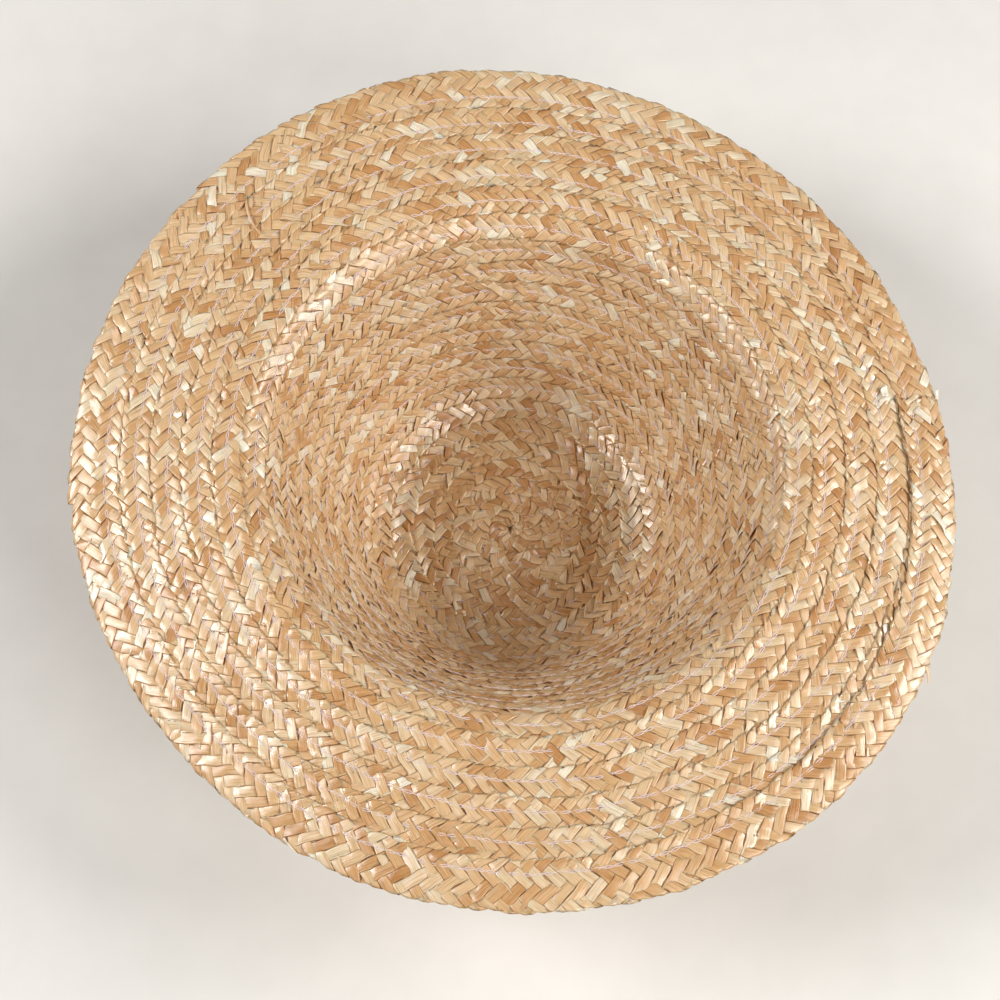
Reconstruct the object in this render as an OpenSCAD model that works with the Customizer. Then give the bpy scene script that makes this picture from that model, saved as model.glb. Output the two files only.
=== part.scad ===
// Straw sun hat, coiled from one flat plaited braid and sewn along every turn.
// It lies crown down: the tip rests on z = 0 and the mouth of the crown opens upwards.
// Each turn of the coil is one row. Every row lies on top of the next row inside it,
// as seen from the inside of the hat, so that the rows shingle.

/* [Crown] */
// Radius of the flat middle of the tip
tip_flat_r = 30; // [20:1:40]
// Length of the slightly domed band around the flat middle
tip_dome_len = 18; // [10:1:26]
// Angle that the domed band rises to
tip_dome_angle = 8; // [4:1:14]
// Radius of the shoulder between the tip and the wall
shoulder_r = 21; // [16:1:26]
// Lean of the crown's wall from upright
wall_lean = 25; // [18:1:30]
// Length of the wall up its slope
wall_len = 74; // [66:1:90]

/* [Brim] */
// Radius of the bend between the wall and the brim
bend_r = 18; // [14:1:24]
// Width of the brim from the bend to its edge
brim_len = 55.5; // [48:0.5:70]
// Angle that the brim falls by on its way out
brim_fall = 3; // [0:1:8]
// Height of the two opposite waves in the brim edge
brim_wave = 8.5; // [0:0.5:10]
// Direction of the higher of the waves, from +X
brim_wave_dir = 120; // [0:1:180]

/* [Braid] */
// Width of the plaited braid
braid_w = 18; // [17:0.5:19]
// Thickness of the braid's solid
braid_t = 0.95; // [0.7:0.05:1]
// Height between two rows where they overlap
row_rise = 1.4; // [1.4:0.05:1.8]
// Spacing of the rows in the tip
tip_pitch = 8; // [7.5:0.1:8.5]
// Direction of the braid's cut tail end, from +X
tail_dir = 9.5; // [0:0.5:40]

/* [Seam] */
// Distance of the seam from a row's outer edge
seam_inset = 13; // [12:0.5:13.5]
// Width of the chain stitch
thread_w = 0.9; // [0.6:0.1:1.2]
// Thickness of the thread where it stands on the braid
thread_t = 0.28; // [0.2:0.02:0.3]

/* [Hidden] */
TIP_ROWS = 7;
WALL_ROWS = 8;
BRIM_ROWS = 7;
ROWS = TIP_ROWS + WALL_ROWS + BRIM_ROWS;
STEPS = 36;              // sections in one turn of the coil
ACROSS = 3;              // panels across the braid
START_W = 7.6;           // width of the coil's first, folded end
CENTRE_R = 0.6;          // the coil never closes on its own axis
ROW_GAP = 0.0015;        // gap between one row's end and the next, in turns
CLOSING = 0.3;           // part of a turn in which the last row runs out
THREAD_LIFT = 0.06;
WOBBLE = 1.2;            // unevenness of the brim's outline
// Waves round the brim edge, the share of WOBBLE that each takes and its phase in degrees.
OUTLINE_WAVES = [[1, 0.5, 55], [2, 0.7, -75], [3, 1, 10], [5, 0.4, 0]];
WALL_ANGLE = 90 - wall_lean;

// The profile from the centre out: [length, turn in degrees] of each stretch.
PROFILE = [
    [tip_flat_r, 0],
    [tip_dome_len, tip_dome_angle],
    [shoulder_r * (WALL_ANGLE - tip_dome_angle) * PI / 180, WALL_ANGLE - tip_dome_angle],
    [wall_len, 0],
    [bend_r * (WALL_ANGLE + brim_fall) * PI / 180, -(WALL_ANGLE + brim_fall)],
    [brim_len, 0],
];
EDGE_S = profile_len(len(PROFILE) - 1);
BRIM_R = on_profile(EDGE_S)[0];
MOUTH_R = on_profile(profile_len(3))[0];

// The pitch grows from the tip's to the brim's between these two turns.
PITCH_FROM = 4.5;
PITCH_TO = 8.5;
PITCH_MID = (PITCH_FROM + PITCH_TO) / 2;
LAST_V = ROWS - CLOSING;
PITCH_GAIN = (EDGE_S - START_W - tip_pitch * LAST_V) / (LAST_V - PITCH_MID);
BASE_Z = braid_w / 2 * row_rise / tip_pitch + braid_t / 2;

// Bits of straw that lie on the rows. Each has its turns back from the tail end, its distance in
// from the brim edge, its angle from straight outwards, its length, its width and its lift.
TAIL_CUTS = [
    [0.004, 11.3, -45, 7.9, 3.4, 0.15],
    [0.001, 14.7, 27, 6, 2, 0.3],
    [0, 0.2, 72, 3.9, 1.6, 0.1],
    [0.997, 24.9, 48, 6, 2.4, 0.3]
];
LOOSE_ENDS = [
    [0.649, 16.1, 155, 21, 0.8, 0.9],
    [0.362, 1.4, 73, 7.8, 0.8, 0.2],
    [0.108, 0, -66, 6.6, 1.2, 0.2],
    [6.001, 73.7, 26, 6.5, 1.4, 0.3]
];

// Length of the profile up to the end of stretch i.
function profile_len(i) = i < 0 ? 0 : PROFILE[i][0] + profile_len(i - 1);

// Point and heading [r, z, angle] at length s along the profile.
function on_profile(s, i = 0, r = 0, z = 0, a = 0) =
    let (len_i = PROFILE[i][0], turn = PROFILE[i][1])
    let (d = i == len(PROFILE) - 1 ? s : min(s, len_i))
    let (b = a + turn * d / len_i, bow = len_i / (turn * PI / 180))
    let (r2 = turn == 0 ? r + d * cos(a) : r + bow * (sin(b) - sin(a)))
    let (z2 = turn == 0 ? z + d * sin(a) : z + bow * (cos(a) - cos(b)))
    s <= len_i || i == len(PROFILE) - 1 ? [r2, z2, b] : on_profile(s - len_i, i + 1, r2, z2, b);

// Smooth step from 0 to 1.
function ease(x) = let (c = min(1, max(0, x))) c * c * (3 - 2 * c);

// Turns in from the brim edge, where the last rows keep level and step in together
// beside the tail, so that the outline closes.
function turns_in(v) =
    let (m = ROWS - v, whole = floor(m), level = min(1, max(0, 1 - (m - 1) / 3)))
    let (stair = m < 1 ? 0 : whole - 1 + ease((m - whole) / CLOSING))
    level * stair + (1 - level) * (m - CLOSING);

// Length along the profile of a row's outer edge, v turns from the start of the coil.
function outer_s(v) =
    let (n = LAST_V - turns_in(v), w = min(max(n - PITCH_FROM, 0), PITCH_TO - PITCH_FROM))
    START_W + tip_pitch * n
    + PITCH_GAIN * (w * w / (2 * (PITCH_TO - PITCH_FROM)) + max(n - PITCH_TO, 0));

// Spacing to the row inside, the slope across a row and its lift over a close neighbour.
function pitch_at(v) = v < 1 ? tip_pitch : outer_s(v) - outer_s(v - 1);
function slope_at(v) = row_rise / max(pitch_at(v), tip_pitch - 0.5);
function lift_at(v) = max(0, row_rise - pitch_at(v) * slope_at(v));

// Direction of the coil v turns from its start; it runs out anticlockwise to the tail.
function dir_at(v) = tail_dir + 360 * (v - ROWS);

// Height and outline of the uneven brim, growing from the mouth of the crown outwards.
function out_share(r) = pow(max(0, (r - MOUTH_R) / (BRIM_R - MOUTH_R)), 1.3);
function wave_z(r, a) = brim_wave * cos(2 * (a - brim_wave_dir)) * out_share(r);
function wave_r(r, a) =
    let (waves = [for (w = OUTLINE_WAVES) w[1] * cos(w[0] * a + w[2])], ones = [for (w = waves) 1])
    -WOBBLE * out_share(r) * (waves * ones);

// A point of the hat: length s along the profile, height h over it, direction a.
function hat_point(s, h, a) =
    let (p = on_profile(s), r = p[0] - h * sin(p[2]), z = p[1] + h * cos(p[2]))
    let (rw = r + wave_r(r, a))
    [rw * cos(a), rw * sin(a), BASE_Z + z + wave_z(r, a)];

// Height over the profile at length s inside the row that is v turns out.
function row_height(v, s) = (outer_s(v) - braid_w / 2 - s) * slope_at(v) + lift_at(v);

// Height of the first row, which lies flat on the ground: it is what the hat rests on.
FIRST_ROW_H = braid_t / 2 - BASE_Z;

// Points of one section of a row: its upper side going out, then its lower side going in.
function row_section(v, flat) =
    let (s1 = outer_s(v), s0 = max(CENTRE_R, s1 - braid_w), a = dir_at(v))
    let (side = [for (j = [0:ACROSS]) s0 + (s1 - s0) * j / ACROSS])
    let (h = [for (s = side) flat ? FIRST_ROW_H : row_height(v, s)])
    concat(
        [for (j = [0:ACROSS]) hat_point(side[j], h[j] + braid_t / 2, a)],
        [for (j = [ACROSS:-1:0]) hat_point(side[j], h[j] - braid_t / 2, a)]
    );

// Points of one section of the seam's thread: a low ridge on top of the row.
function thread_section(v) =
    let (s = outer_s(v) - seam_inset, a = dir_at(v))
    let (h = row_height(v, s) + braid_t / 2 + THREAD_LIFT, half = thread_w / 2, tilt = half * slope_at(v))
    [hat_point(s - half, h + tilt, a), hat_point(s, h + thread_t, a), hat_point(s + half, h - tilt, a)];

// Panels that close the end of a loop of n points: a strip of four-sided ones, or one triangle.
function cap(n) = n == 3 ? [[0, 1, 2]] : [for (j = [0:n / 2 - 2]) [j, j + 1, n - 2 - j, n - 1 - j]];

// A closed ribbon through equal sections, each a loop of points.
module ribbon(sections) {
    n = len(sections[0]);
    last = len(sections) - 1;
    polyhedron(
        points = [for (ring = sections, p = ring) p],
        faces = concat(
            [for (panel = cap(n)) panel],
            [for (panel = cap(n)) [for (j = [len(panel) - 1:-1:0]) last * n + panel[j]]],
            [for (i = [0:last - 1], j = [0:n - 1], half = [0, 1])
                let (k = (j + 1) % n, a = i * n + j, b = i * n + k)
                half == 0 ? [a, a + n, b] : [b, a + n, b + n]]
        )
    );
}

// One turn of the braid, between two nearly touching ends.
module row(number) {
    from = number - 1 + ROW_GAP / 2;
    span = 1 - ROW_GAP;
    ribbon([for (i = [0:STEPS]) row_section(from + span * i / STEPS, number == 1)]);
}

module crown_tip_row(k) {
    color("burlywood") row(k);
}

module crown_wall_row(k) {
    color("tan") row(TIP_ROWS + k);
}

module brim_row(k) {
    color("wheat") row(TIP_ROWS + WALL_ROWS + k);
}

// The chain stitch of the turns from one row's start to another row's end.
module seam(first, last) {
    steps = round((last - first) * STEPS);
    color("thistle") ribbon([for (i = [0:steps]) thread_section(first + (last - first) * i / steps)]);
}

// A flat bit of straw that lies on a row: v turns out, at length s, turned by angle.
module straw(v, s, angle, length, width, lift) {
    a = dir_at(v);
    p = hat_point(s, row_height(v, s) + braid_t / 2 + lift, a);
    heading = on_profile(s)[2];
    translate(p) rotate([0, 0, a]) rotate([0, -heading, 0]) rotate([0, 0, angle])
        translate([0, -width / 2, 0]) cube([length, width, 0.3]);
}

// The cut splints at the tail end of the braid.
module tail_stubs() {
    color("ivory") {
        for (c = TAIL_CUTS) straw(ROWS - c[0], EDGE_S - c[1], c[2], c[3], c[4], c[5]);
    }
}

// Straw ends that stand off the brim.
module loose_straws() {
    color("wheat") {
        for (c = LOOSE_ENDS) straw(ROWS - c[0], EDGE_S - c[1], c[2], c[3], c[4], c[5]);
    }
}

crown_tip_row(1);  // crown_tip_row_1
crown_tip_row(2);  // crown_tip_row_2
crown_tip_row(3);  // crown_tip_row_3
crown_tip_row(4);  // crown_tip_row_4
crown_tip_row(5);  // crown_tip_row_5
crown_tip_row(6);  // crown_tip_row_6
crown_tip_row(7);  // crown_tip_row_7
crown_wall_row(1);  // crown_wall_row_1
crown_wall_row(2);  // crown_wall_row_2
crown_wall_row(3);  // crown_wall_row_3
crown_wall_row(4);  // crown_wall_row_4
crown_wall_row(5);  // crown_wall_row_5
crown_wall_row(6);  // crown_wall_row_6
crown_wall_row(7);  // crown_wall_row_7
crown_wall_row(8);  // crown_wall_row_8
brim_row(1);  // brim_row_1
brim_row(2);  // brim_row_2
brim_row(3);  // brim_row_3
brim_row(4);  // brim_row_4
brim_row(5);  // brim_row_5
brim_row(6);  // brim_row_6
brim_row(7);  // brim_row_7
seam(1.2, TIP_ROWS + WALL_ROWS);  // seam_thread_crown
seam(TIP_ROWS + WALL_ROWS + ROW_GAP, ROWS - ROW_GAP);  // seam_thread_brim
tail_stubs();
loose_straws();
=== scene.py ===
"""Straw sun hat, lying on its crown: the plaited braid, its seam and its loose ends.

The hat is one flat braid of seven splints, coiled from the middle of the crown's tip to the
brim edge and sewn to itself along every turn. Positions along the braid are given in turns
from the start of the coil, and lengths here are in millimetres until a mesh is made.
"""

import math

import bpy
import numpy as np
from mathutils import Matrix, Vector


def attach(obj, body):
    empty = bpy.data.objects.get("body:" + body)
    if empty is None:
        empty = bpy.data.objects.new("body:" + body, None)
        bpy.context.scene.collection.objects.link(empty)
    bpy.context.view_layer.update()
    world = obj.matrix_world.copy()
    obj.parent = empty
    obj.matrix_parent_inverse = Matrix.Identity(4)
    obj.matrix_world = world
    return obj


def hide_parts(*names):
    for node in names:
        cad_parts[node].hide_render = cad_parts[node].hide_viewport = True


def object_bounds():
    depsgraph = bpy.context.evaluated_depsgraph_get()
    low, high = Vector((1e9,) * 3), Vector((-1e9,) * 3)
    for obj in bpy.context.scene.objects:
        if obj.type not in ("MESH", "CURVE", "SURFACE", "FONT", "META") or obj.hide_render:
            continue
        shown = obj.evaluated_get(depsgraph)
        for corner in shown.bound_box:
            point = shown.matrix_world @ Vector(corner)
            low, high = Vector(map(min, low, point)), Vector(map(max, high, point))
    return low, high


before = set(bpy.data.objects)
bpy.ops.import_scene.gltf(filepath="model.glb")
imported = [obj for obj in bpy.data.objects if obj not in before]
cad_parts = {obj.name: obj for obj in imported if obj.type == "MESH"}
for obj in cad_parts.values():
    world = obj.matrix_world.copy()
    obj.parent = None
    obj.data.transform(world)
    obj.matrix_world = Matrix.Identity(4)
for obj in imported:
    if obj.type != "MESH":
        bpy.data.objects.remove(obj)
CAD_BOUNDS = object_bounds()

MM = 0.001
SEED = 11

# The hat's shape, as in the CAD model.
TIP_FLAT_R = 30
TIP_DOME_LEN, TIP_DOME_ANGLE = 18, 8
SHOULDER_R = 21
WALL_LEAN, WALL_LEN = 25, 74
BEND_R = 18
BRIM_LEN, BRIM_FALL = 55.5, 3
BRIM_WAVE, BRIM_WAVE_DIR = 8.5, 120
WAVE_GROWTH = 1.3            # the waves and the uneven outline grow outwards with this power
WOBBLE = 1.2
# Waves round the brim edge, the share of WOBBLE that each takes and its phase in degrees.
OUTLINE_WAVES = [(1, 0.5, 55), (2, 0.7, -75), (3, 1.0, 10), (5, 0.4, 0)]
BRAID_W, BRAID_T = 18, 0.95
ROW_RISE = 1.4               # how far each row stands over the one beneath it
TIP_PITCH = 8                # from row to row in the tip; it widens further out
PITCH_FROM, PITCH_TO = 4.5, 8.5          # turns between which the pitch widens
TAIL_DIR = 9.5               # direction of the braid's cut end
CLOSING = 0.3                # share of a turn over which the last rows step in
TIP_ROWS, WALL_ROWS, BRIM_ROWS = 7, 8, 7
ROWS = TIP_ROWS + WALL_ROWS + BRIM_ROWS
START_W = 7.6
CENTRE_R = -1.2              # the folded start of the braid crosses the axis
SEAM_INSET = 13              # from the outer edge of a row to its seam
SEAM_PRESS = 0.85            # how far the seam pulls a row down on the one beneath it
PRESS_WIDTH = 4              # from the middle of the braid to where it is fully pulled down
PRESS_FROM, PRESS_IN = 0.9, 0.5          # turn where the press begins, and turns to its full
SEAM_DIP, DIP_WIDTH = 0.12, 1.4          # the groove that the thread lies in
SETTLE = 0.4                 # straws lower than this are pressed flat by the ground

# The plait.
DRIFT, DRIFT_WAVES = 0.55, (31, 47, 83, 140, 265)      # how the braid wavers sideways
BOUNCE, BOUNCE_WAVES = 0.22, (19, 37, 61, 110, 240)    # and up and down
HELD_BOUNCE = 0.3            # share of the bounce that is left where the seam holds it
LOOSER = 0.8                 # how much more uneven the first turns are than the rest
LOOSE_TO, LOOSE_OVER = 3, 6  # turns that are fully uneven, and turns until it has gone
SPLINTS = 7
HALF_W = BRAID_W / 2
FOLD_Y = 9.3                        # distance of the folds from the braid's middle
SPLINT_ANGLE = math.radians(43.5)   # between a splint and the braid's length
COLUMN = 2 * FOLD_Y / SPLINTS       # braid width from one crossing of a splint to the next
PERIOD = 4 * FOLD_Y / math.tan(SPLINT_ANGLE)
UNIT = PERIOD / (2 * SPLINTS)       # braid length from one crossing to the next
STEPS_PER_UNIT = 3
SPLINT_W = 1.06 * PERIOD / SPLINTS * math.sin(SPLINT_ANGLE)
SPLINT_T = 0.32
LAYER_H = 0.19                      # height of an upper or lower splint from the middle
FOLD_TILT = 0.22                    # how far one corner of a fold stands out at the edge
FOLD_ROUND = 0.6                    # how far both corners of a fold are drawn in
FOLD_LEVEL = 0.35                   # height share of a splint beside its fold
FLOAT_BOW = 0.22                    # how far the middle of a float bows out
MOST_ROLL = 0.35
TIP_SHADE = 0.2                      # painted shade: how much darker the first turns, deep in the crown's tip, are coloured

# Camera and light.
CAMERA_DISTANCE = 606
CAMERA_TILT = 21.16
CAMERA_TURN = 8.47
CAMERA_LENS = 57.6
CAMERA_SHIFT = (-0.0229, -0.0455)


# ---------------------------------------------------------------- the hat's shape

def profile_stretches():
    """Start length, radius, height, heading and curvature of each stretch of the profile."""
    wall = 90 - WALL_LEAN
    stretches = [
        (TIP_FLAT_R, 0),
        (TIP_DOME_LEN, TIP_DOME_ANGLE),
        (SHOULDER_R * math.radians(wall - TIP_DOME_ANGLE), wall - TIP_DOME_ANGLE),
        (WALL_LEN, 0),
        (BEND_R * math.radians(wall + BRIM_FALL), -(wall + BRIM_FALL)),
        (BRIM_LEN, 0),
    ]
    out = []
    s = r = z = a = 0.0
    for length, turn in stretches:
        k = math.radians(turn) / length
        out.append((s, r, z, a, k))
        b = a + k * length
        r += (math.sin(b) - math.sin(a)) / k if k else length * math.cos(a)
        z += (math.cos(a) - math.cos(b)) / k if k else length * math.sin(a)
        s, a = s + length, b
    return out, s, r


PROFILE, EDGE_S, BRIM_R = profile_stretches()
MOUTH_R = PROFILE[4][1]
LAST_V = ROWS - CLOSING
PITCH_MID = (PITCH_FROM + PITCH_TO) / 2
PITCH_GAIN = (EDGE_S - START_W - TIP_PITCH * LAST_V) / (LAST_V - PITCH_MID)
BASE_Z = BRAID_W / 2 * ROW_RISE / TIP_PITCH + BRAID_T / 2


def on_profile(s):
    """Radius, height and heading at length s along the profile."""
    r, z, a = np.zeros_like(s), np.zeros_like(s), np.zeros_like(s)
    for i, (s0, r0, z0, a0, k) in enumerate(PROFILE):
        here = s >= s0 if i else np.ones_like(s, bool)
        d = s - s0
        b = a0 + k * d
        ri = r0 + ((np.sin(b) - math.sin(a0)) / k if k else d * math.cos(a0))
        zi = z0 + ((math.cos(a0) - np.cos(b)) / k if k else d * math.sin(a0))
        r, z, a = np.where(here, ri, r), np.where(here, zi, z), np.where(here, b, a)
    return r, z, a


def ease(x):
    """A smooth step from 0 to 1."""
    c = np.clip(x, 0, 1)
    return c * c * (3 - 2 * c)


def turns_in(v):
    """Turns in from the brim edge; the last rows step in together beside the tail."""
    m = ROWS - v
    whole = np.floor(m)
    level = np.clip(1 - (m - 1) / 3, 0, 1)
    stair = np.where(m < 1, 0, whole - 1 + ease((m - whole) / CLOSING))
    return level * stair + (1 - level) * (m - CLOSING)


def outer_s(v):
    """Length along the profile of the braid's outer edge."""
    n = LAST_V - turns_in(v)
    w = np.clip(n - PITCH_FROM, 0, PITCH_TO - PITCH_FROM)
    return START_W + TIP_PITCH * n + PITCH_GAIN * (
        w * w / (2 * (PITCH_TO - PITCH_FROM)) + np.maximum(n - PITCH_TO, 0))


def row_slope(v):
    """Slope of a row across its width, and how far it is lifted to clear the one beneath."""
    pitch = np.where(v < 1, TIP_PITCH, outer_s(v) - outer_s(v - 1))
    slope = ROW_RISE / np.maximum(pitch, TIP_PITCH - 0.5)
    return slope, np.maximum(0, ROW_RISE - pitch * slope)


def row_height(v, s):
    """Height of the braid's middle over the profile; the coil's start lies flat."""
    slope, lift = row_slope(v)
    start = ease((v - 0.3) / 0.7)
    tilt = np.where(v < 1, slope * start, slope)
    return (outer_s(v) - s) * tilt - HALF_W * slope + lift


def direction(v):
    """Direction round the hat, in radians, of a place on the coil."""
    return np.radians(TAIL_DIR + 360 * (v - ROWS))


def hat_point(s, h, a):
    """Points at length s along the profile, height h over it, in direction a."""
    r, z, heading = on_profile(s)
    r, z = r - h * np.sin(heading), z + h * np.cos(heading)
    share = np.maximum(0, (r - MOUTH_R) / (BRIM_R - MOUTH_R)) ** WAVE_GROWTH
    uneven = sum(size * np.cos(waves * a + math.radians(phase))
                 for waves, size, phase in OUTLINE_WAVES)
    r = r - WOBBLE * uneven * share
    wave = BRIM_WAVE * np.cos(2 * (a - math.radians(BRIM_WAVE_DIR)))
    return np.stack([r * np.cos(a), r * np.sin(a), BASE_Z + z + wave * share], -1)


def braid_lengths():
    """Length of braid from the coil's start, at many places along the coil."""
    v = np.linspace(-0.02, ROWS + 0.05, 24000)
    r = np.maximum(on_profile(np.maximum(outer_s(v) - HALF_W, 0))[0], 5)
    step = np.diff(v) * np.pi * (r[1:] + r[:-1])
    length = np.concatenate([[0], np.cumsum(step)])
    return v, length - np.interp(0, v, length)


TURN_AT, LENGTH_AT = braid_lengths()


def waver(length, amplitude, waves, phases):
    """A smooth uneven line along the braid: a few sines of different wave lengths."""
    out = np.zeros_like(length)
    for wave, phase in zip(waves, phases):
        out += np.sin(2 * np.pi * length / wave + phase)
    return amplitude * out / len(waves)


rng = np.random.default_rng(SEED)
DRIFT_PHASES = rng.uniform(0, 2 * np.pi, 5)
BOUNCE_PHASES = rng.uniform(0, 2 * np.pi, 5)


def looseness(v):
    """How uneven the plait is: the first turns are worked by hand and come out rougher."""
    return 1 + LOOSER * (1 - ease((v - LOOSE_TO) / LOOSE_OVER))


def on_braid(length, y, h):
    """Points of the coiled braid: length along it, y across it towards the brim, height h."""
    v = np.interp(length, LENGTH_AT, TURN_AT)
    y = y + waver(length, DRIFT, DRIFT_WAVES, DRIFT_PHASES) * looseness(v)
    edge = outer_s(v)
    pitch = np.where(v < 1, TIP_PITCH, edge - outer_s(v - 1))
    held = ease(-y / PRESS_WIDTH)
    bounce = waver(length, BOUNCE, BOUNCE_WAVES, BOUNCE_PHASES)
    press = SEAM_PRESS * (held + ease(-(y + pitch) / PRESS_WIDTH))
    press = press + SEAM_DIP * np.exp(-((y - HALF_W + SEAM_INSET) / DIP_WIDTH) ** 2)
    h = h + bounce * (1 - (1 - HELD_BOUNCE) * held) - press * ease((v - PRESS_FROM) / PRESS_IN)
    squeeze = np.minimum(1, (edge - CENTRE_R) / BRAID_W)
    s = edge - (HALF_W - y) * squeeze
    points = hat_point(s, row_height(v, s) + h, direction(v))
    z = points[..., 2]
    points[..., 2] = np.where(z < SETTLE, SETTLE * np.exp(np.minimum(z / SETTLE - 1, 0)), z)
    return points


# ---------------------------------------------------------------- meshes

def make_mesh(name, points, quads, uv, tint):
    """A smooth mesh of quads with a 'grain' UV map and a 'tint' colour for each point."""
    mesh = bpy.data.meshes.new(name)
    n, f = len(points), len(quads)
    mesh.vertices.add(n)
    mesh.vertices.foreach_set("co", (points * MM).astype(np.float32).ravel())
    mesh.loops.add(4 * f)
    mesh.loops.foreach_set("vertex_index", quads.astype(np.int32).ravel())
    mesh.polygons.add(f)
    mesh.polygons.foreach_set("loop_start", np.arange(0, 4 * f, 4, dtype=np.int32))
    mesh.polygons.foreach_set("use_smooth", np.ones(f, bool))
    layer = mesh.uv_layers.new(name="grain")
    layer.data.foreach_set("uv", uv[quads.ravel()].astype(np.float32).ravel())
    colours = mesh.color_attributes.new("tint", "FLOAT_COLOR", "POINT")
    colours.data.foreach_set("color", tint.astype(np.float32).ravel())
    mesh.update()
    mesh.validate()
    piece = bpy.data.objects.new(name, mesh)
    bpy.context.scene.collection.objects.link(piece)
    return piece


def tube_quads(sections, around):
    """Quads of a tube through a number of sections, with both ends closed by quads."""
    i = np.arange(sections - 1)[:, None] * around
    j = np.arange(around)[None, :]
    k = (j + 1) % around
    sides = np.stack([i + j, i + k, i + around + k, i + around + j], -1).reshape(-1, 4)
    panels = np.array([[j, around - 1 - j, around - 2 - j, j + 1] for j in range(around // 2 - 1)])
    last = (sections - 1) * around
    return np.concatenate([sides, panels, last + panels[:, ::-1]])


# ---------------------------------------------------------------- the plait

# Whether a splint lies under (-1) or over (1) the one it meets at each of its six crossings
# from edge to edge. It folds round the edge and crosses back the same way.
LEVELS = (-1, 1, 1, -1, -1, 1)
STRAW_LENGTHS = (40, 190)

# A splint's cross-section: places across it and heights, as shares of its half sizes.
SECTION_X = np.array([-1.0, -0.78, 0.0, 0.78, 1.0, 0.78, 0.0, -0.78])
SECTION_H = np.array([0.0, 0.86, 1.0, 0.86, 0.0, -0.86, -1.0, -0.86])


def crossing_level(u):
    """Height share of a splint u crossings in from the edge: flat floats with steep ends."""
    third = 1 / STEPS_PER_UNIT
    at, level = [0.0, third], [0.0, FOLD_LEVEL * LEVELS[0]]
    for k, value in enumerate(LEVELS, 1):
        at += [k - third, k + third]
        level += [value, value]
    at += [SPLINTS - third, SPLINTS]
    level += [FOLD_LEVEL * LEVELS[-1], 0.0]
    bow = FLOAT_BOW * (np.clip(1 - abs(u - 2.5), 0, 1) - np.clip(1 - abs(u - 4.5), 0, 1))
    return np.interp(u, at, level) + bow


def straw_tints(step_length, legs, rng):
    """Tone, hue, seed and gloss at each step. A new straw is spliced in now and then, and
    a fold turns the other face of the straw up."""
    count = len(legs)
    tint = np.empty((count, 4))
    i = 0
    while i < count:
        run = max(6, int(rng.uniform(*STRAW_LENGTHS) / step_length))
        tint[i:i + run] = rng.random(4)
        i += run
    face = rng.random((int(legs.max() - legs.min()) + 1, 4))[(legs - legs.min()).astype(int)]
    tint[:, 0] = 0.4 * tint[:, 0] + 0.6 * face[:, 0]
    tint[:, 1] = 0.6 * tint[:, 1] + 0.4 * face[:, 1]
    tint[:, 3] = face[:, 3]
    return tint


def plan_splint(k, rng):
    """One splint from the start of the coil to its end, with its unevenness at each step."""
    first = -(2 * k + 2) * STEPS_PER_UNIT
    last = int(LENGTH_AT[-1] / UNIT * STEPS_PER_UNIT)
    steps = np.arange(first, last)
    t = steps / STEPS_PER_UNIT
    leg = np.floor(t / SPLINTS)
    u = t - leg * SPLINTS
    way = np.where(leg % 2 == 0, 1.0, -1.0)
    nodes = np.arange(first // STEPS_PER_UNIT - 1, last // STEPS_PER_UNIT + 2)
    at_fold = nodes % SPLINTS == 0
    loose = looseness(np.interp(k * PERIOD / SPLINTS + nodes * UNIT, LENGTH_AT, TURN_AT))

    def uneven(spread, fold_spread=None):
        spreads = np.where(at_fold, spread if fold_spread is None else fold_spread, spread)
        return np.interp(t, nodes, rng.normal(0, 1, len(nodes)) * spreads * loose)

    along = COLUMN / math.sin(SPLINT_ANGLE) / STEPS_PER_UNIT
    loose_here = np.interp(t, nodes, loose)
    tint = straw_tints(along, leg, rng)
    # painted shade: the first turns, at the bottom of the crown, get a darker tone
    tint[:, 0] -= TIP_SHADE * (loose_here - 1)
    return {
        "length": k * PERIOD / SPLINTS + t * UNIT + uneven(0.2, 0.4),
        "y": way * FOLD_Y * (2 * u / SPLINTS - 1) + uneven(0.15, 0.34),
        "level": crossing_level(u),
        "way": way,
        "turned": np.clip(np.minimum(u, SPLINTS - u), 0, 1),
        "roll": np.clip(uneven(0.19) / loose_here, -MOST_ROLL, MOST_ROLL),
        "lift": uneven(0.05),
        "width": 1 + uneven(0.09, 0.1),
        "tint": tint,
        "run": (steps - first) * along + rng.uniform(0, 500),
    }


def splint_ribbon(plan, pick):
    """Points, UVs and tints of the stretch of a splint between two places on the braid.

    A section lies along the edge of the braid at a fold, and along the crossing splints
    elsewhere, so that every float ends square against its neighbour.
    """
    p = {key: value[pick, None] for key, value in plan.items() if key != "tint"}
    tint = plan["tint"][pick]
    half = SPLINT_W / 2 * p["width"]
    across = SECTION_X[None, :] * half
    sin, cos = math.sin(SPLINT_ANGLE), math.cos(SPLINT_ANGLE)
    turned = p["turned"]
    length = p["length"] + across / sin * (1 - turned / 2)
    y = p["y"] - p["way"] * across * turned / (2 * cos)
    c = across / half
    y = y + np.sign(p["y"]) * (c * FOLD_TILT - c * c * FOLD_ROUND) * (1 - turned) ** 2
    up = SECTION_H[None, :] * SPLINT_T / 2
    h = LAYER_H * p["level"] + p["lift"] + up + across * p["roll"]
    points = on_braid(length, y, h)
    skew = (1 - turned) * cos / sin + turned / math.tan(2 * SPLINT_ANGLE)
    uv = np.stack([np.broadcast_to(SECTION_X / 2 + 0.5, across.shape),
                   (p["run"] + across * skew) / 100], -1)
    tint = np.repeat(tint[:, None, :], len(SECTION_X), 1)
    return points.reshape(-1, 3), uv.reshape(-1, 2), tint.reshape(-1, 4)


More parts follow.
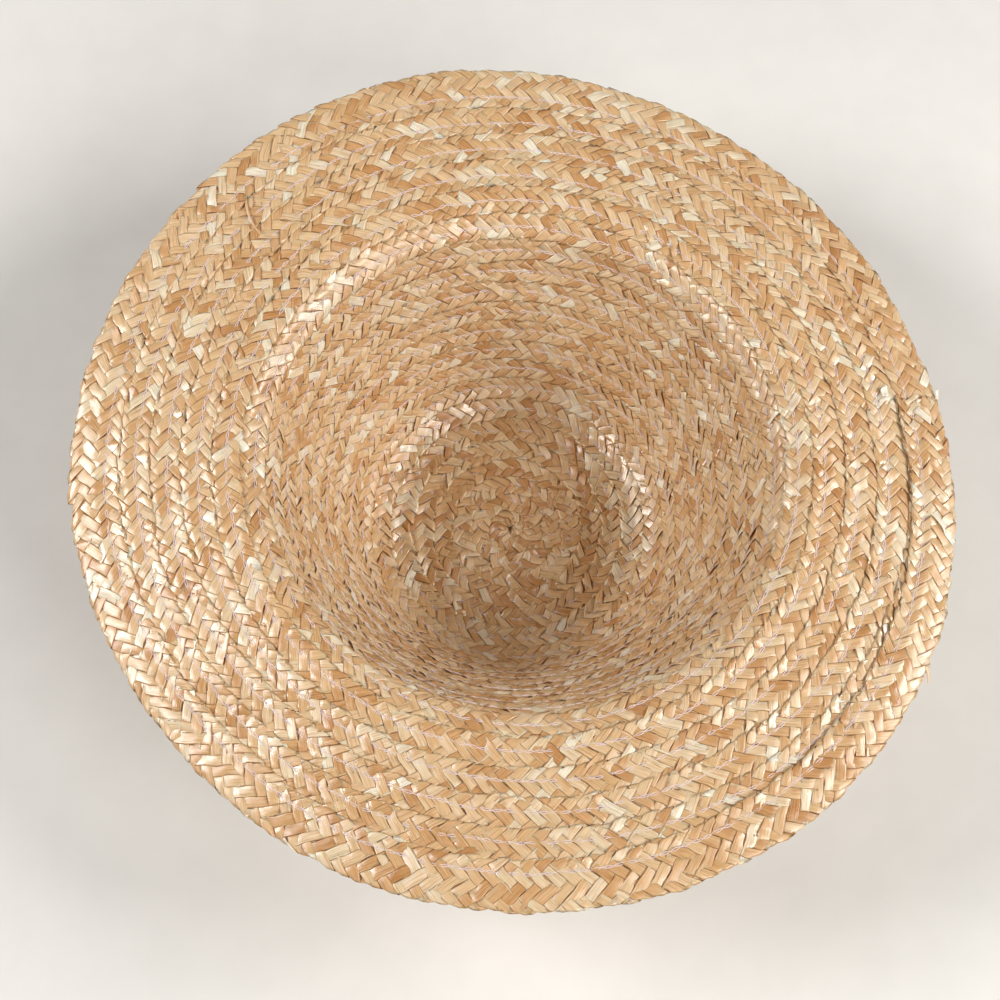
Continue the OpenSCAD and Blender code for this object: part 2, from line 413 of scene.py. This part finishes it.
def plait_row(name, number, plans, material):
    """One turn of the braid: the stretch of every splint that lies in it."""
    from_length = np.interp(number - 1, TURN_AT, LENGTH_AT)
    to_length = np.interp(number, TURN_AT, LENGTH_AT)
    points, uvs, tints, quads = [], [], [], []
    base = 0
    for plan in plans:
        centre = plan["length"]
        inside = np.nonzero((centre >= from_length) & (centre < to_length))[0]
        pick = slice(inside[0], min(inside[-1] + 2, len(centre)))
        p, uv, tint = splint_ribbon(plan, pick)
        sections = len(p) // len(SECTION_X)
        quads.append(tube_quads(sections, len(SECTION_X)) + base)
        base += len(p)
        points.append(p)
        uvs.append(uv)
        tints.append(tint)
    piece = make_mesh(name, np.concatenate(points), np.concatenate(quads),
                      np.concatenate(uvs), np.concatenate(tints))
    piece.data.materials.append(material)
    return piece


# ---------------------------------------------------------------- the seam

STITCH = 4.1
STITCH_STEPS = 6
THREAD_R = 0.18
LOOP_W = 0.42                # how far the two sides of a loop stand from the seam line
LOOP_H = 0.14                # and how far they rise between the needle's holes
SEAM_FROM, SEAM_TO = 1.2, ROWS - 0.004   # turns where the seam starts and ends
SUNK, SUNK_IN_TIP = 0.08, 0.24           # depth of the thread in the straw; more in the tip
SUNK_TO, SUNK_OVER = 4, 5    # turns where it lies deepest, and turns until that has gone


def tube_along(path, radius, around=4):
    """Points of a round tube along a path, with UVs along and around it."""
    ahead = np.gradient(path, axis=0)
    ahead /= np.linalg.norm(ahead, axis=1, keepdims=True)
    side = np.cross(ahead, [0.0, 0.0, 1.0])
    side /= np.maximum(np.linalg.norm(side, axis=1, keepdims=True), 1e-6)
    up = np.cross(side, ahead)
    turn = 2 * np.pi * np.arange(around) / around
    ring = (np.cos(turn)[None, :, None] * side[:, None, :]
            + np.sin(turn)[None, :, None] * up[:, None, :])
    points = path[:, None, :] + radius * ring
    run = np.concatenate([[0], np.cumsum(np.linalg.norm(np.diff(path, axis=0), axis=1))])
    uv = np.stack([np.broadcast_to(turn / (2 * np.pi), (len(path), around)),
                   np.broadcast_to(run[:, None] / 10, (len(path), around))], -1)
    return points.reshape(-1, 3), uv.reshape(-1, 2)


def seam(name, first, last, material, rng):
    """The chain stitch on the inside of the hat and its plain stitches on the outside."""
    start = np.interp(first, TURN_AT, LENGTH_AT)
    end = np.interp(last, TURN_AT, LENGTH_AT)
    stitches = int((end - start) / STITCH)
    x = np.arange(stitches * STITCH_STEPS + 1) / STITCH_STEPS
    holes = np.arange(stitches + 2)
    length = start + (x + np.interp(x, holes, rng.normal(0, 0.06, len(holes)))) * STITCH
    line = HALF_W - SEAM_INSET + np.interp(x, holes, rng.normal(0, 0.22, len(holes)))
    loop = abs(np.sin(np.pi * x))
    top = LAYER_H + SPLINT_T / 2
    turn = np.interp(length, LENGTH_AT, TURN_AT)
    sunk = SUNK + SUNK_IN_TIP * (1 - ease((turn - SUNK_TO) / SUNK_OVER))
    sides = [(line + side * LOOP_W * loop, top - sunk + LOOP_H * loop) for side in (-1, 1)]
    sides.append((line, -top + SUNK - LOOP_H * loop))
    points, uvs, quads = [], [], []
    for number, (y, h) in enumerate(sides):
        path = on_braid(length, y, h)
        p, uv = tube_along(path, THREAD_R)
        quads.append(tube_quads(len(path), 4) + number * len(p))
        points.append(p)
        uvs.append(uv)
    points, uvs = np.concatenate(points), np.concatenate(uvs)
    piece = make_mesh(name, points, np.concatenate(quads), uvs, np.ones((len(points), 4)))
    piece.data.materials.append(material)
    return piece


# ---------------------------------------------------------------- cut and loose straws

BLADE_T = 0.3
BLADE_STEPS = 10
SPLINTER_W = 1.2                    # a straw up to this width runs out to a point
CUT_SLANT = math.radians(26)        # a wider one is cut off at this slant
POINT_FROM = 0.6                    # share of a splinter's length where its point begins

# Each has its turns back from the tail end, its distance in from the brim edge, its angle from
# straight outwards, how far it curves, its length and width, how far its start and its tip
# stand off the braid, and its tone.
TAIL_CUTS = [
    (0.004, 11.3, -45, 4, 7.9, 3.4, 0.15, 0.6, 1.0),
    (0.001, 14.7, 27, 10, 6.0, 2.0, 0.1, 0.9, 0.8),
    (0.0, 0.2, 72, 12, 3.9, 1.4, 0.0, 1.0, 0.9),
    (0.001, 10.1, 19, 0, 2.1, 1.2, 0.3, 0.6, 1.0),
    (0.997, 22.7, 100, 8, 3.8, 1.8, 0.2, 0.9, 1.0),
    (0.997, 21.8, 86, -8, 4.5, 2.0, 0.2, 0.9, 1.0),
    (0.999, 25.1, 17, 0, 4.4, 1.6, 0.1, 0.5, 1.0),
]
LOOSE_ENDS = [
    (0.649, 16.7, 155, 40, 21.0, 1.0, 0.1, 0.9, 0.6),
    (0.362, 1.4, 73, 14, 7.8, 0.7, 0.0, 0.6, 1.0),
    (0.108, 0.8, -66, -40, 6.6, 1.2, 0.0, 0.8, 0.7),
    (6.001, 73.7, 26, 6, 6.5, 1.7, 0.2, 1.2, 1.0),
]


def blade(back, inwards, angle, curve, length, width, start_lift, tip_lift, tone, rng):
    """A short flat straw that lies on the braid and lifts off it towards its tip."""
    v = ROWS - back
    place = float(np.interp(v, TURN_AT, LENGTH_AT))
    y_start = HALF_W - inwards + EDGE_S - float(outer_s(np.array(v)))
    share = np.linspace(0, 1, BLADE_STEPS)
    turn = np.radians(angle + curve * (share - 0.5))
    step = length / (BLADE_STEPS - 1)
    out = np.concatenate([[0], np.cumsum(np.cos(turn[:-1]) * step)])
    along = np.concatenate([[0], np.cumsum(np.sin(turn[:-1]) * step)])
    fine = width <= SPLINTER_W
    taper = 1 - 2 * np.maximum(0, share - POINT_FROM) if fine else np.ones(BLADE_STEPS)
    across = SECTION_X[None, :] * (width / 2 * taper)[:, None]
    slant = -across * (0 if fine else math.tan(CUT_SLANT)) * share[:, None]
    ahead, aside = np.cos(turn)[:, None], np.sin(turn)[:, None]
    y = y_start + out[:, None] + slant * ahead - across * aside
    run = place + along[:, None] + slant * aside + across * ahead
    lift = LAYER_H + SPLINT_T / 2 + start_lift + (tip_lift - start_lift) * share ** 2
    h = lift[:, None] + (SECTION_H[None, :] + 0.5 * SECTION_X[None, :] ** 2) * BLADE_T / 2
    points = on_braid(run, y, h).reshape(-1, 3)
    uv = np.stack([np.broadcast_to(SECTION_X / 2 + 0.5, across.shape),
                   np.broadcast_to(share[:, None] * length / 100, across.shape)], -1)
    tint = np.array([tone, rng.random() * 0.4, rng.random(), 0.3])
    return points, uv.reshape(-1, 2), np.tile(tint, (len(points), 1))


def straw_ends(name, bits, material, rng):
    """One piece made of several cut or loose straws."""
    points, uvs, tints, quads = [], [], [], []
    around = len(SECTION_X)
    for number, bit in enumerate(bits):
        p, uv, tint = blade(*bit, rng)
        quads.append(tube_quads(BLADE_STEPS, around) + number * len(p))
        points.append(p)
        uvs.append(uv)
        tints.append(tint)
    piece = make_mesh(name, np.concatenate(points), np.concatenate(quads),
                      np.concatenate(uvs), np.concatenate(tints))
    piece.data.materials.append(material)
    return piece


# ---------------------------------------------------------------- materials

def srgb(r, g, b):
    """Linear colour of an sRGB one given from 0 to 255."""
    def linear(c):
        c /= 255
        return c / 12.92 if c <= 0.04045 else ((c + 0.055) / 1.055) ** 2.4
    return linear(r), linear(g), linear(b), 1.0


SEED_SPREAD = 37.0           # keeps the grain of two straws apart


class Nodes:
    """Short-hand for a material's node tree."""

    def __init__(self, name):
        self.material = bpy.data.materials.new(name)
        self.material.use_nodes = True
        self.tree = self.material.node_tree
        self.shader = self.tree.nodes["Principled BSDF"]

    def add(self, kind, **values):
        node = self.tree.nodes.new(kind)
        for key, value in values.items():
            setattr(node, key, value)
        return node

    def link(self, source, target):
        self.tree.links.new(source, target)

    def math(self, operation, a, b=0.0):
        node = self.add("ShaderNodeMath", operation=operation)
        for socket, value in zip(node.inputs, (a, b)):
            if isinstance(value, (int, float)):
                socket.default_value = value
            else:
                self.link(value, socket)
        return node.outputs[0]

    def scaled_uv(self, u, v, offset):
        """The grain UV stretched by u and v, and shifted by a straw's own seed."""
        uv = self.add("ShaderNodeUVMap", uv_map="grain")
        parts = self.add("ShaderNodeSeparateXYZ")
        self.link(uv.outputs[0], parts.inputs[0])
        both = self.add("ShaderNodeCombineXYZ")
        self.link(self.math("MULTIPLY", parts.outputs[0], u), both.inputs[0])
        self.link(self.math("MULTIPLY", parts.outputs[1], v), both.inputs[1])
        self.link(self.math("MULTIPLY", offset, SEED_SPREAD), both.inputs[2])
        return both.outputs[0]

    def noise(self, vector, scale, detail=3.0, roughness=0.55):
        node = self.add("ShaderNodeTexNoise")
        node.inputs["Scale"].default_value = scale
        node.inputs["Detail"].default_value = detail
        node.inputs["Roughness"].default_value = roughness
        self.link(vector, node.inputs["Vector"])
        return node.outputs[0]

    def ramp(self, factor, stops):
        node = self.add("ShaderNodeValToRGB")
        elements = node.color_ramp.elements
        while len(elements) < len(stops):
            elements.new(0.5)
        for element, (position, colour) in zip(elements, stops):
            element.position = position
            element.color = colour
        self.link(factor, node.inputs[0])
        return node.outputs[0]

    def mix(self, mode, factor, a, b):
        node = self.add("ShaderNodeMix", data_type="RGBA", blend_type=mode)
        for socket, value in ((node.inputs[0], factor), (node.inputs[6], a), (node.inputs[7], b)):
            if isinstance(value, (int, float, tuple)):
                socket.default_value = value
            else:
                self.link(value, socket)
        return node.outputs[2]


STRAW_TONES = [
    (0.05, srgb(184, 136, 87)),
    (0.26, srgb(200, 159, 113)),
    (0.48, srgb(211, 177, 136)),
    (0.68, srgb(217, 189, 154)),
    (0.84, srgb(222, 204, 176)),
    (0.98, srgb(230, 223, 207)),
]


def straw_material(name):
    """Glossy straw: its own tone, fine streaks along it, and painted shade darkening the edges of
    each splint.
    """
    n = Nodes(name)
    tint = n.add("ShaderNodeVertexColor", layer_name="tint")
    parts = n.add("ShaderNodeSeparateColor")
    n.link(tint.outputs[0], parts.inputs[0])
    tone, hue, seed = parts.outputs[0], parts.outputs[1], parts.outputs[2]
    gloss = tint.outputs[1]
    fine = n.noise(n.scaled_uv(16, 9, seed), 1.0, 4.0)
    broad = n.noise(n.scaled_uv(2.0, 12, seed), 1.0, 3.0)
    drift = n.math("MULTIPLY", n.math("SUBTRACT", broad, 0.5), 0.5)
    colour = n.ramp(n.math("ADD", tone, drift), STRAW_TONES)
    colour = n.mix("MULTIPLY", n.math("MULTIPLY", hue, 0.4), colour, srgb(246, 242, 226))
    streak = n.ramp(fine, [(0.32, srgb(206, 184, 158)), (0.56, srgb(255, 255, 255))])
    colour = n.mix("MULTIPLY", 0.8, colour, streak)
    # Painted shade: each splint darkens to brown towards its edges, where it meets or dives under
    # its neighbours.
    uv = n.add("ShaderNodeUVMap", uv_map="grain")
    across = n.add("ShaderNodeSeparateXYZ")
    n.link(uv.outputs[0], across.inputs[0])
    edge = n.math("ABSOLUTE", n.math("SUBTRACT", across.outputs[0], 0.5))
    edge_shade = n.ramp(edge, [(0.42, srgb(255, 255, 255)), (0.50, srgb(166, 106, 60))])
    colour = n.mix("MULTIPLY", 0.65, colour, edge_shade)
    n.link(colour, n.shader.inputs["Base Color"])
    rough = n.math("ADD", n.math("MULTIPLY", fine, 0.22), n.math("MULTIPLY", gloss, 0.22))
    n.link(n.math("ADD", rough, 0.09), n.shader.inputs["Roughness"])
    n.shader.inputs["Specular IOR Level"].default_value = 0.95
    n.shader.inputs["Subsurface Weight"].default_value = 0.35
    n.shader.inputs["Subsurface Radius"].default_value = (1.0, 0.55, 0.28)
    n.shader.inputs["Subsurface Scale"].default_value = 0.0008
    bump = n.add("ShaderNodeBump")
    bump.inputs["Strength"].default_value = 0.6
    bump.inputs["Distance"].default_value = 0.00012
    n.link(n.noise(n.scaled_uv(20, 6, seed), 1.0, 3.0), bump.inputs["Height"])
    n.link(bump.outputs[0], n.shader.inputs["Normal"])
    return n.material


def thread_material(name):
    """Fine twisted cotton."""
    n = Nodes(name)
    twist = n.add("ShaderNodeTexWave", wave_type="BANDS", bands_direction="DIAGONAL")
    twist.inputs["Scale"].default_value = 1.0
    n.link(n.scaled_uv(6, 60, 0.0), twist.inputs["Vector"])
    shade = n.ramp(twist.outputs[1], [(0.2, srgb(198, 172, 168)), (0.7, srgb(234, 216, 210))])
    n.link(shade, n.shader.inputs["Base Color"])
    n.shader.inputs["Roughness"].default_value = 0.75
    n.shader.inputs["Sheen Weight"].default_value = 0.2
    bump = n.add("ShaderNodeBump")
    bump.inputs["Strength"].default_value = 0.4
    bump.inputs["Distance"].default_value = 0.00006
    n.link(twist.outputs[1], bump.inputs["Height"])
    n.link(bump.outputs[0], n.shader.inputs["Normal"])
    return n.material


def floor_material():
    n = Nodes("pale_floor")
    where = n.add("ShaderNodeTexCoord")
    grain = n.noise(where.outputs["Object"], 40.0, 3.0)
    n.link(n.ramp(grain, [(0.3, srgb(209, 207, 203)), (0.7, srgb(213, 211, 207))]),
           n.shader.inputs["Base Color"])
    n.shader.inputs["Roughness"].default_value = 0.85
    return n.material


# ---------------------------------------------------------------- camera, light and floor

def add_camera():
    """The camera looks down into the crown from beyond the brim's near edge."""
    tilt, turn = math.radians(CAMERA_TILT), math.radians(CAMERA_TURN)
    back = Vector((-math.sin(turn) * math.sin(tilt), -math.cos(turn) * math.sin(tilt),
                   math.cos(tilt)))
    right = Vector((math.cos(turn), -math.sin(turn), 0))
    up = back.cross(right)
    rolled_right = math.cos(turn) * right + math.sin(turn) * up
    rolled_up = -math.sin(turn) * right + math.cos(turn) * up
    target = Vector((0, 0, (BASE_Z + on_profile(np.array([EDGE_S]))[1][0]) * MM))
    data = bpy.data.cameras.new("camera")
    data.lens = CAMERA_LENS
    data.sensor_width = 36
    data.shift_x, data.shift_y = CAMERA_SHIFT
    data.clip_start, data.clip_end = 0.01, 20
    camera = bpy.data.objects.new("camera", data)
    matrix = Matrix((rolled_right, rolled_up, back)).transposed().to_4x4()
    matrix.translation = target + back * CAMERA_DISTANCE * MM
    camera.matrix_world = matrix
    bpy.context.scene.collection.objects.link(camera)
    bpy.context.scene.camera = camera


# Sizes and distances in metres, from here on.
LIGHT_DISTANCE = 1.5
LIGHT_SIZE = 0.7
LIGHT_AIM_Z = 0.08           # height of the point that the soft boxes look at
LIGHT_HEIGHT = 38            # angle of the soft boxes over the horizon
FLOOR_HALF = 4.0
FLOOR_GAP = 0.0004           # between the floor and the hat's lowest point
BACKDROP, OVERHEAD = 0.62, 0.02          # strength of the world low down and above
BACKDROP_FROM, BACKDROP_TO = 0.1, 0.42   # heights of its fade, as sines of the elevation
SOFT_BOXES = [               # direction, power and colour
    ("right_box", 0, 18.8, (1.0, 0.98, 0.95)),
    ("left_box", 180, 21.4, (1.0, 0.985, 0.965)),
    ("near_right_box", 315, 11.5, (1.0, 0.975, 0.94)),
]


def add_soft_box(name, azimuth, power, colour):
    """A round area light that looks at the hat from one direction."""
    data = bpy.data.lights.new(name, "AREA")
    data.shape = "DISK"
    data.size = LIGHT_SIZE
    data.energy = power
    data.color = colour
    light = bpy.data.objects.new(name, data)
    a, e = math.radians(azimuth), math.radians(LIGHT_HEIGHT)
    away = Vector((math.cos(a) * math.cos(e), math.sin(a) * math.cos(e), math.sin(e)))
    light.location = away * LIGHT_DISTANCE + Vector((0, 0, LIGHT_AIM_Z))
    light.rotation_euler = (-away).to_track_quat("-Z", "Y").to_euler()
    bpy.context.scene.collection.objects.link(light)


def add_backdrop():
    """A plain pale backdrop round the horizon, which fades out overhead."""
    world = bpy.data.worlds.new("studio")
    world.use_nodes = True
    nodes, links = world.node_tree.nodes, world.node_tree.links
    background = nodes["Background"]
    background.inputs[0].default_value = (1.0, 0.98, 0.96, 1.0)
    where = nodes.new("ShaderNodeTexCoord")
    height = nodes.new("ShaderNodeSeparateXYZ")
    fade = nodes.new("ShaderNodeMapRange")
    fade.interpolation_type = "SMOOTHSTEP"
    for socket, value in zip(fade.inputs[1:5], (BACKDROP_FROM, BACKDROP_TO, BACKDROP, OVERHEAD)):
        socket.default_value = value
    links.new(where.outputs["Generated"], height.inputs[0])
    links.new(height.outputs[2], fade.inputs[0])
    links.new(fade.outputs[0], background.inputs[1])
    bpy.context.scene.world = world


def add_studio():
    """Backdrop, lights and floor."""
    add_backdrop()
    bpy.context.scene.view_settings.view_transform = "Standard"
    for box in SOFT_BOXES:
        add_soft_box(*box)
    mesh = bpy.data.meshes.new("floor")
    signs = ((-1, -1), (1, -1), (1, 1), (-1, 1))
    corners = [(x * FLOOR_HALF, y * FLOOR_HALF, 0) for x, y in signs]
    mesh.from_pydata(corners, [], [(0, 1, 2, 3)])
    floor = bpy.data.objects.new("floor", mesh)
    floor.location.z = CAD_BOUNDS[0][2] - FLOOR_GAP
    floor.data.materials.append(floor_material())
    bpy.context.scene.collection.objects.link(floor)


# ---------------------------------------------------------------- the hat

def row_names():
    """Names of the CAD rows, from the middle of the tip to the brim edge."""
    names = [f"crown_tip_row_{k}" for k in range(1, TIP_ROWS + 1)]
    names += [f"crown_wall_row_{k}" for k in range(1, WALL_ROWS + 1)]
    names += [f"brim_row_{k}" for k in range(1, BRIM_ROWS + 1)]
    return names


def stand_for(piece, slot, *nodes):
    """Let a piece take the place of its CAD nodes."""
    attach(piece, "root")
    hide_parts(*nodes)


def build_hat():
    straw = straw_material("wheat_straw")
    cotton = thread_material("seam_cotton")
    plans = [plan_splint(k, rng) for k in range(SPLINTS)]
    for number, node in enumerate(row_names(), 1):
        piece = plait_row(node + "_plait", number, plans, straw)
        stand_for(piece, "plaited_straw", node)
    crown = seam("crown_chain_stitch", SEAM_FROM, TIP_ROWS + WALL_ROWS, cotton, rng)
    stand_for(crown, "sewing_thread", "seam_thread_crown")
    brim = seam("brim_chain_stitch", TIP_ROWS + WALL_ROWS, SEAM_TO, cotton, rng)
    stand_for(brim, "sewing_thread", "seam_thread_brim")
    stand_for(straw_ends("cut_tail_splints", TAIL_CUTS, straw, rng), "cut_straw", "tail_stubs")
    stand_for(straw_ends("loose_straw_ends", LOOSE_ENDS, straw, rng), "cut_straw", "loose_straws")


add_camera()
add_studio()
build_hat()
